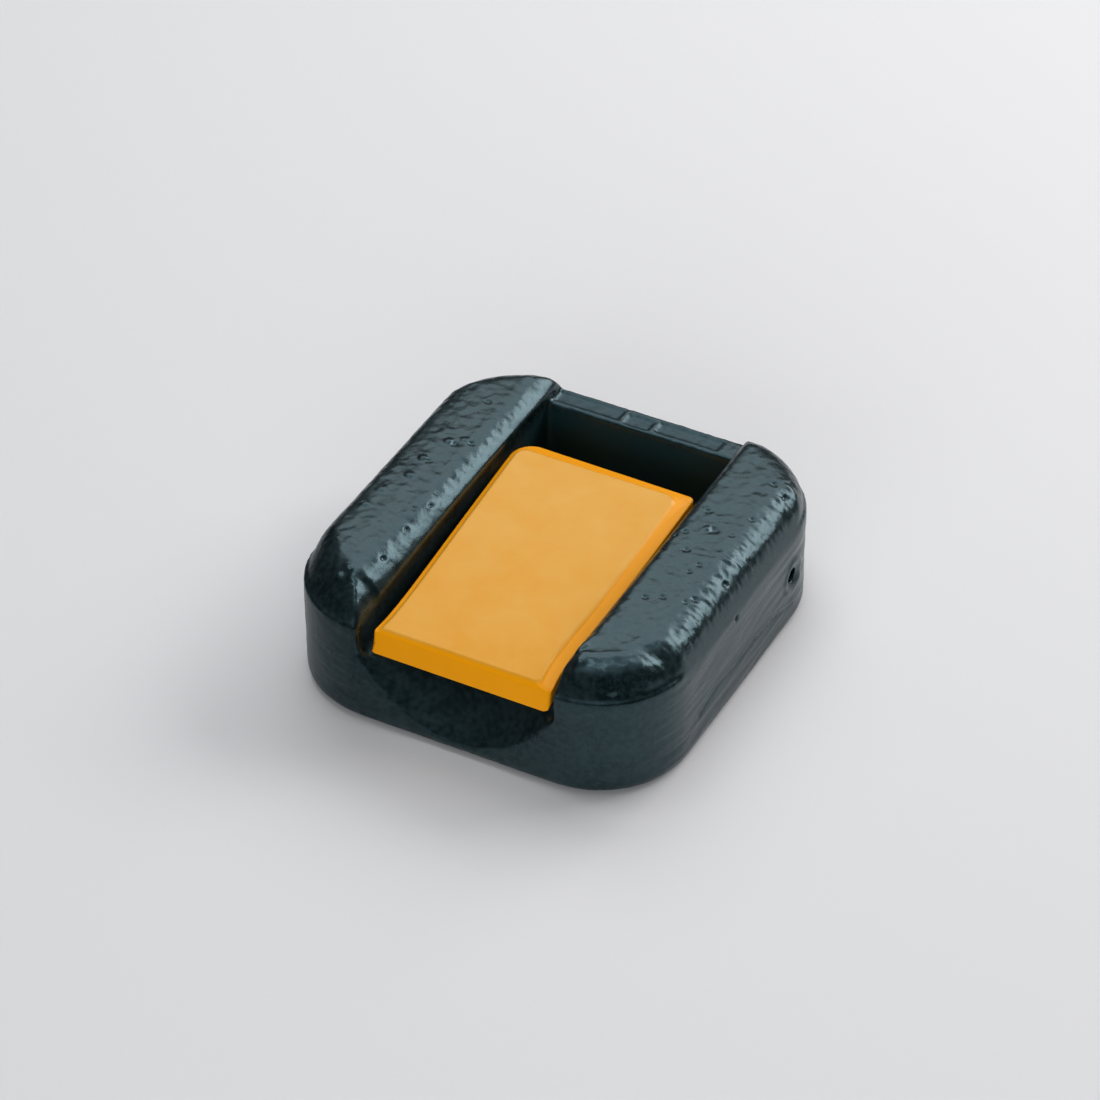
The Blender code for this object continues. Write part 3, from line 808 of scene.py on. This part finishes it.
edit(lever)
choose(lever, "EDGE", rear_left)
bpy.ops.mesh.bevel(offset=LEFT_CORNER * MM, segments=12)
choose(lever, "FACE", lambda face: face.normal.z > 0.9)
bpy.ops.mesh.inset(thickness=BORDER * MM)
for side, at_back, at_front in RIM_MOVES:
    move(lever, "VERT", rim(side, True), z=at_back)
    move(lever, "VERT", rim(side, False), z=at_front)
inner_front = CREST + BORDER
move(lever, "VERT", lambda v: near(v.co.z, RISE) and near(v.co.y, inner_front), y=FRONT_BORDER - BORDER)
move(lever, "VERT", lambda v: near(v.co.z, RISE) and v.co.x < -10 * MM, x=LEFT_BORDER - BORDER)
print("plate:", len(bmesh.from_edit_mesh(lever.data).faces), "faces")

# %% [markdown]
# The panel is an inset of the plate's flat face, moved up a little, so its sides slope. Only its
# two right-hand corners are rounded afterwards. The rear left one follows the plate's round
# corner already, and the front left one is almost square on the real lever.

# %% The raised panel
PANEL_SLOPE, PANEL_HEIGHT = 0.6, 0.5
choose(lever, "FACE", lambda face: face.normal.z > 0.9999 and face.calc_area() > 1e-4)
bpy.ops.mesh.inset(thickness=PANEL_SLOPE * MM, depth=PANEL_HEIGHT * MM)


def corner_edge(y_low, y_high):
    """The short sloping edge at one of the panel's right-hand corners."""
    def test(edge):
        a, b = (v.co / MM for v in edge.verts)
        rises = near(abs(a.z - b.z) * MM, PANEL_HEIGHT) and a.x > 0 and abs(a.x - b.x) > 0.1
        return rises and y_low < a.y < y_high
    return test


for y_low, y_high, radius, segments in ((-10, 5, 1.9, 6), (-60, -50, 0.8, 4)):
    choose(lever, "EDGE", corner_edge(y_low, y_high))
    bpy.ops.mesh.bevel(offset=radius * MM, segments=segments)
leave()
print("plate with panel:", len(lever.data.polygons), "faces")

# %% [markdown]
# Seen from above, the real lever isn't a rectangle: its right edge bends in behind the lip, and
# its left edge leans. The plate is sliced across with the bisect tool, and the two ends of each
# slice are then moved sideways, as one would move them with the mouse.

# %% The waist: slice the plate across and move the ends of each slice
SIDES = (  # along the lever: how far the left and the right edge move out of the straight
    (0.5, -0.95, 0.0), (-10, -0.75, 0.0), (-24, -0.4, -0.05), (-36, -0.05, -0.25), (-42, 0.12, -0.55),
    (-46, 0.2, -0.75), (-50, 0.2, -0.78), (-53.5, 0.1, -0.55), (LIP_ROOT, -0.1, -0.25), (CREST, -0.3, 0.05),
)


def side_shift(y, column):
    """How far a point that far along the lever moves, straight between two slices."""
    for back, front in zip(SIDES, SIDES[1:]):
        if front[0] <= y <= back[0]:
            t = (y - front[0]) / (back[0] - front[0])
            return front[column] + t * (back[column] - front[column])
    return SIDES[-1][column] if y < CREST else SIDES[0][column]


def slice_end(row, side):
    """A slice's vertices at its left or right end."""
    return lambda v: round(v.co.y / MM, 2) == row and v.co.x * side > 10 * MM


edit(lever)
for y, _, _ in SIDES[1:-1]:
    bpy.ops.mesh.select_all(action="SELECT")
    bpy.ops.mesh.bisect(plane_co=PIN + Vector((0, y * MM, 0)), plane_no=(0, 1, 0))
rows = sorted({round(v.co.y / MM, 2) for v in bmesh.from_edit_mesh(lever.data).verts})
for row in rows:
    for side, column in ((-1, 1), (1, 2)):
        move(lever, "VERT", slice_end(row, side), x=side_shift(row, column))
print("slices:", len(rows))

# %% [markdown]
# The lip is where a finger lifts the lever. It is extruded down from a narrow strip of the
# plate's underside and leans forward a little. Then every edge that is round on the real lever
# is found by its place and direction and rounded by its own radius, and a last, small bevel
# takes the sharpness off all the others, because nothing moulded has a sharp edge.

# %% The lip, turned down at the front
LIP_DROP, LIP_LEAN = 2.4, 0.5
LIP_BOTTOM = UNDER - LIP_DROP
move(lever, "VERT", lambda v: near(v.co.z, UNDER) and near(v.co.y, CREST), y=-LIP_LEAN)
choose(lever, "FACE", lambda face: face.normal.z < -0.9 and place(face).y / MM < LIP_ROOT)
down = (0, -LIP_LEAN * MM, -LIP_DROP * MM)
bpy.ops.mesh.extrude_region_move(TRANSFORM_OT_translate={"value": down})
move(lever, "VERT", lambda v: near(v.co.z, LIP_BOTTOM) and near(v.co.y, LIP_ROOT - LIP_LEAN), y=-LIP_LEAN)
print("lip down to", round(LIP_BOTTOM, 2), "mm over the pin's axis")


# %% The round edges of the lip and the plate
def lies_along(edge, axis):
    """Whether an edge runs along X, Y or Z, which are 0, 1 and 2."""
    way = (edge.verts[1].co - edge.verts[0].co).normalized()
    return abs(way[axis]) > 0.85


def round_off(name, radius, segments, axis, test):
    """Round the edges that run along an axis and whose middle passes a test."""
    count = choose(lever, "EDGE", lambda edge: lies_along(edge, axis) and test(place(edge)))
    if count:
        bpy.ops.mesh.bevel(offset=radius * MM, segments=segments)
    print(name, count, "edges")


round_off("lip root", 1.0, 4, 0, lambda p: near(p.z, UNDER) and near(p.y, LIP_ROOT))
round_off("lip right corner", 1.5, 6, 1, lambda p: near(p.z, LIP_BOTTOM) and p.x > 16 * MM)
round_off("lip left corner", 0.6, 4, 1, lambda p: near(p.z, LIP_BOTTOM) and p.x < -16 * MM)
round_off("rear right corner", 1.1, 5, 2, lambda p: p.y > 0 and p.x > 17 * MM)
round_off(
    "front corners", 0.8, 4, 2,
    lambda p: p.y / MM < CREST + 0.1 and abs(p.x) > 17 * MM and p.z / MM > LIP_BOTTOM + 1.0,
)
leave()
apply(
    lever, "BEVEL", width=0.25 * MM, segments=3, limit_method="ANGLE", angle_limit=math.radians(32),
    use_clamp_overlap=False,
)
print("moulding:", len(lever.data.polygons), "faces")

# %% [markdown]
# Under the plate a web goes down to a barrel round the pin. The spring sits in the barrel's
# middle, so a bay is cut out there and what is left are two knuckles. Boxes and rods joined and
# cut with the Boolean modifier do for these, as they are plain and mostly hidden.

# %% The web
WEB_HALF, WEB_FRONT, WEB_BACK, WEB_TOP = 16.5, -3.6, -1.1, 10.95
FOOT_Y, FOOT_Z = 3.27, 1.51  # where the web's slanting back touches the barrel
web = box("web", (-WEB_HALF, WEB_FRONT, 0), (WEB_HALF, WEB_BACK, WEB_TOP), PIN)
edit(web)
move(web, "VERT", lambda v: near(v.co.z, 0) and near(v.co.y, WEB_BACK), y=FOOT_Y - WEB_BACK, z=FOOT_Z)
leave()
print("web:", len(web.data.polygons), "faces")


# %% The hinge knuckles, and what is cut out of them for the spring and the pin
BARREL_HALF, BARREL_RADIUS = 19.5, 3.6
BAY_HALF, BAY_DEPTH = 7.9, 4.6
BAY_FRONT, BAY_BACK, POCKET_TOP = -8, 7.2, 9.5


def rod_on_pin(name, low, high, radius, vertices):
    """A cylinder along the pin, from low to high in mm, with its origin on the pin."""
    bpy.ops.mesh.primitive_cylinder_add(
        vertices=vertices, radius=radius * MM, depth=(high - low) * MM, rotation=(0, math.pi / 2, 0),
        location=PIN + Vector(((low + high) / 2 * MM, 0, 0)),
    )
    made = bpy.context.object
    made.name = name
    only(made)
    bpy.context.scene.cursor.location = PIN
    bpy.ops.object.transform_apply(location=False, rotation=True, scale=False)
    bpy.ops.object.origin_set(type="ORIGIN_CURSOR")
    return made


barrel = rod_on_pin("barrel", -BARREL_HALF, BARREL_HALF, BARREL_RADIUS, 72)
apply(barrel, "BEVEL", width=0.4 * MM, segments=3, limit_method="ANGLE", angle_limit=math.radians(40))
combine(lever, "UNION", web, barrel)
bay = box("spring_bay", (-BAY_HALF, BAY_FRONT, -BAY_DEPTH), (BAY_HALF, BAY_BACK, BAY_DEPTH), PIN)
pocket = box("leg_pocket", (-BAY_HALF, WEB_BACK, -BAY_DEPTH), (BAY_HALF, BAY_BACK, POCKET_TOP), PIN)
bore = rod_on_pin("bore", -BORE_LENGTH / 2, BORE_LENGTH / 2, BORE, 48)
combine(lever, "DIFFERENCE", bay, pocket, bore)
edit(lever)
bpy.ops.mesh.select_all(action="SELECT")
bpy.ops.mesh.remove_doubles(threshold=0.004 * MM)
bpy.ops.mesh.dissolve_degenerate(threshold=0.004 * MM)
bpy.ops.mesh.normals_make_consistent(inside=False)
leave()
print("lever:", len(lever.data.polygons), "faces")

# %% [markdown]
# At rest the lever droops until its lip lies just over the belt floor. It was modelled level,
# because level faces are easy to find by their height, and one rotation about its origin, which
# is on the pin's axis, now puts it where it belongs.

# %% Tilt it on the pin, as it rests with its lip just over the belt floor
DROOP = 4.08
lever.rotation_euler.x = math.radians(DROOP)
only(lever)
bpy.ops.object.transform_apply(location=True, rotation=True, scale=True)
bpy.ops.object.shade_smooth_by_angle(angle=math.radians(12))
apply(lever, "WEIGHTED_NORMAL", mode="FACE_AREA", weight=100, keep_sharp=True)
lowest = min(v.co.z for v in lever.data.vertices if v.co.y < -0.03)
print("the lip's lowest point is at z", round(lowest / MM, 2), "mm; the belt floor is at 14.5")

# %% [markdown]
# ## The lever's finish
# Moulded orange plastic, glossy but a little worn. The flat panel is left bare, and is painted a paler orange
# than the border and the lip, a painted sheen that is paler still towards the back. Moulded parts show a
# faint flow in their colour and a very fine leathery skin, so both are there, weakly.

# %% Moulded orange plastic
orange = Finish("orange_plastic", IOR=1.5, Specular_Tint=(1.0, 0.62, 0.25, 1))
flow = orange.speckle(orange.spot, 130.0, 6.0, distortion=0.4)
fine = orange.speckle(orange.spot, 1400.0, 3.0)
upright = Vector((0, -math.sin(math.radians(DROOP)), math.cos(math.radians(DROOP))))
above = orange.node("VectorMath", {"operation": "DOT_PRODUCT"}, {0: orange.spot, 1: upright}, output="Value")
foot = upright.dot(PIN) + (RISE + 0.1) * MM
# The raised panel is painted a paler orange than the border and the lip: a painted sheen, paler still towards
# the back, over a random mottle.
panel = orange.slope(above, foot, foot + 0.3 * MM)
plain_orange = orange.mix(flow, (0.84, 0.315, 0.0, 1), (0.89, 0.345, 0.001, 1))
clouds = orange.slope(flow, 0.30, 0.70)
rearward_sheen = orange.slope(orange.axis(orange.spot, "Y"), -34 * MM, 6 * MM)
paler = 0.6 * clouds + 0.4 * rearward_sheen
sheen_orange = orange.mix(paler, (0.70, 0.310, 0.018, 1), (0.735, 0.390, 0.072, 1))
orange.wear(
    colour=orange.mix(panel, plain_orange, sheen_orange), roughness=0.24 + 0.10 * flow + 0.08 * fine,
    height=fine + flow, strength=0.3, depth=0.02,
)
lever.data.materials.append(orange.material)
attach(lever, "lever")
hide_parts("release_lever")

# %% [markdown]
# ## The torsion spring
# A coil of spring wire on the pin presses the lever down: one leg stands on the recess floor, the other lies
# behind the lever's web. A wound wire is one small circle turned round an axis and pushed along it, which is
# what the Screw modifier does.

# %% Wind the coil
COIL, WIRE, TURNS, PITCH = 2.2, 0.5, 8, 1.6
LEG_LEAN = 19.33
FIRST, LAST = 50.0, 360 * TURNS + LEG_LEAN + DROOP
COIL_STEPS = 240
half = TURNS * PITCH / 2
first = math.radians(FIRST)
last = math.radians(LAST)
bpy.ops.mesh.primitive_circle_add(
    vertices=16, radius=WIRE * MM, rotation=(first, 0, 0),
    location=PIN + Vector((-half, COIL * math.cos(first), COIL * math.sin(first))) * MM,
)
spring = bpy.context.object
spring.name = "wound_spring"
bpy.ops.object.transform_apply(location=False, rotation=True, scale=False)
bpy.context.scene.cursor.location = PIN
bpy.ops.object.origin_set(type="ORIGIN_CURSOR")
apply(
    spring, "SCREW", axis="X", angle=math.radians(LAST - FIRST), screw_offset=2 * half * MM,
    steps=COIL_STEPS, render_steps=COIL_STEPS, iterations=1, use_smooth_shade=True,
)
print("coil:", len(spring.data.polygons), "faces")

# %% [markdown]
# The wire's two open ends are extruded along the coil's tangent, one down to the recess floor and
# one up to the place where it meets the web. Each length follows from a right triangle, so a
# leg ends exactly where it should, and a face closes its end.

# %% Draw out the legs
FLOOR_DROP = 3.8  # from the pin's axis down to the middle of a wire on the recess floor
STAND_OFF, CONTACT = 0.3, 7.5  # the long leg's end: how far behind the pin's axis, and how high


def end_ring(sign):
    """The open edges at one end of the coil."""
    return lambda edge: edge.is_boundary and place(edge).x * sign > (half - WIRE - 0.1) * MM


reach = math.hypot(STAND_OFF, CONTACT)
short_length = (FLOOR_DROP + COIL * math.sin(first)) / math.cos(first)
long_length = math.sqrt(reach ** 2 - COIL ** 2)
legs = (
    (-1, Vector((0, math.sin(first), -math.cos(first))) * short_length),
    (1, Vector((0, -math.sin(last), math.cos(last))) * long_length),
)
edit(spring)
for sign, way in legs:
    count = choose(spring, "EDGE", end_ring(sign))
    bpy.ops.mesh.extrude_region_move(TRANSFORM_OT_translate={"value": way * MM})
    bpy.ops.mesh.edge_face_add()
    print("leg of", count, "edges along", [round(c, 2) for c in way], "mm")
bpy.ops.mesh.select_all(action="SELECT")
bpy.ops.mesh.remove_doubles(threshold=0.0005 * MM)
bpy.ops.mesh.normals_make_consistent(inside=False)
leave()
only(spring)
bpy.ops.object.transform_apply(location=True, rotation=True, scale=True)
bpy.ops.object.shade_smooth_by_angle(angle=math.radians(50))
print("spring:", len(spring.data.polygons), "faces")

# %% [markdown]
# The wire is bare drawn steel, so it is a metal with a soft grain in its grey and its polish.

# %% Drawn spring wire
wire = Finish("drawn_wire", Metallic=1.0)
dull = wire.speckle(wire.spot, 1500.0, 3.0)
grey = wire.mix(dull, (0.42, 0.42, 0.41, 1), (0.58, 0.58, 0.58, 1))
wire.wear(grey, 0.22 + 0.16 * dull, dull, strength=0.3, depth=0.01)
spring.data.materials.append(wire.material)
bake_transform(spring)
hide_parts("torsion_spring")

# %% [markdown]
# ## The pin and the lead
# Their CAD shapes are right, a turned rod and the casting inside the coat, so both stay and only
# get a finish: fine turning rings for the steel, and the dull, blotched grey of old cast lead.

# %% Turned stainless steel
steel = Finish("turned_steel", Metallic=1.0)
stretched = steel.node("Mapping", inputs={"Vector": steel.spot, "Scale": (1.0, 0.05, 0.05)})
rings = steel.speckle(stretched, 9000.0, 2.0)
stain = steel.speckle(steel.spot, 700.0, 3.0)
grey = steel.mix(stain, (0.44, 0.44, 0.44, 1), (0.62, 0.62, 0.63, 1))
steel.wear(grey, 0.2 + 0.12 * stain + 0.08 * rings, rings, strength=0.3, depth=0.01)
nodes["hinge_pin"].material_slots[0].material = steel.material

# %% Cast lead
lead = Finish("cast_lead", Metallic=0.8)
blotch = lead.speckle(lead.spot, 220.0, 5.0)
sand = lead.speckle(lead.spot, 1600.0, 4.0)
grey = lead.mix(blotch, (0.12, 0.125, 0.135, 1), (0.30, 0.31, 0.33, 1))
lead.wear(grey, 0.5 + 0.3 * blotch, sand, strength=0.6, depth=0.1)
nodes["lead_core"].material_slots[0].material = lead.material

# %% [markdown]
# ## Sizes and the end
# A bump that has grown too far, or a piece that has slipped, shows first in the overall size. So the dressed
# model is measured like the CAD model was, and both boxes are printed.

# %% Sizes: the CAD box and the dressed model's box
visual_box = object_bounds()
for name, corners in (("CAD", cad_box), ("visual", visual_box)):
    print(name, "box", [[round(x / MM, 2) for x in c] for c in corners], "mm")
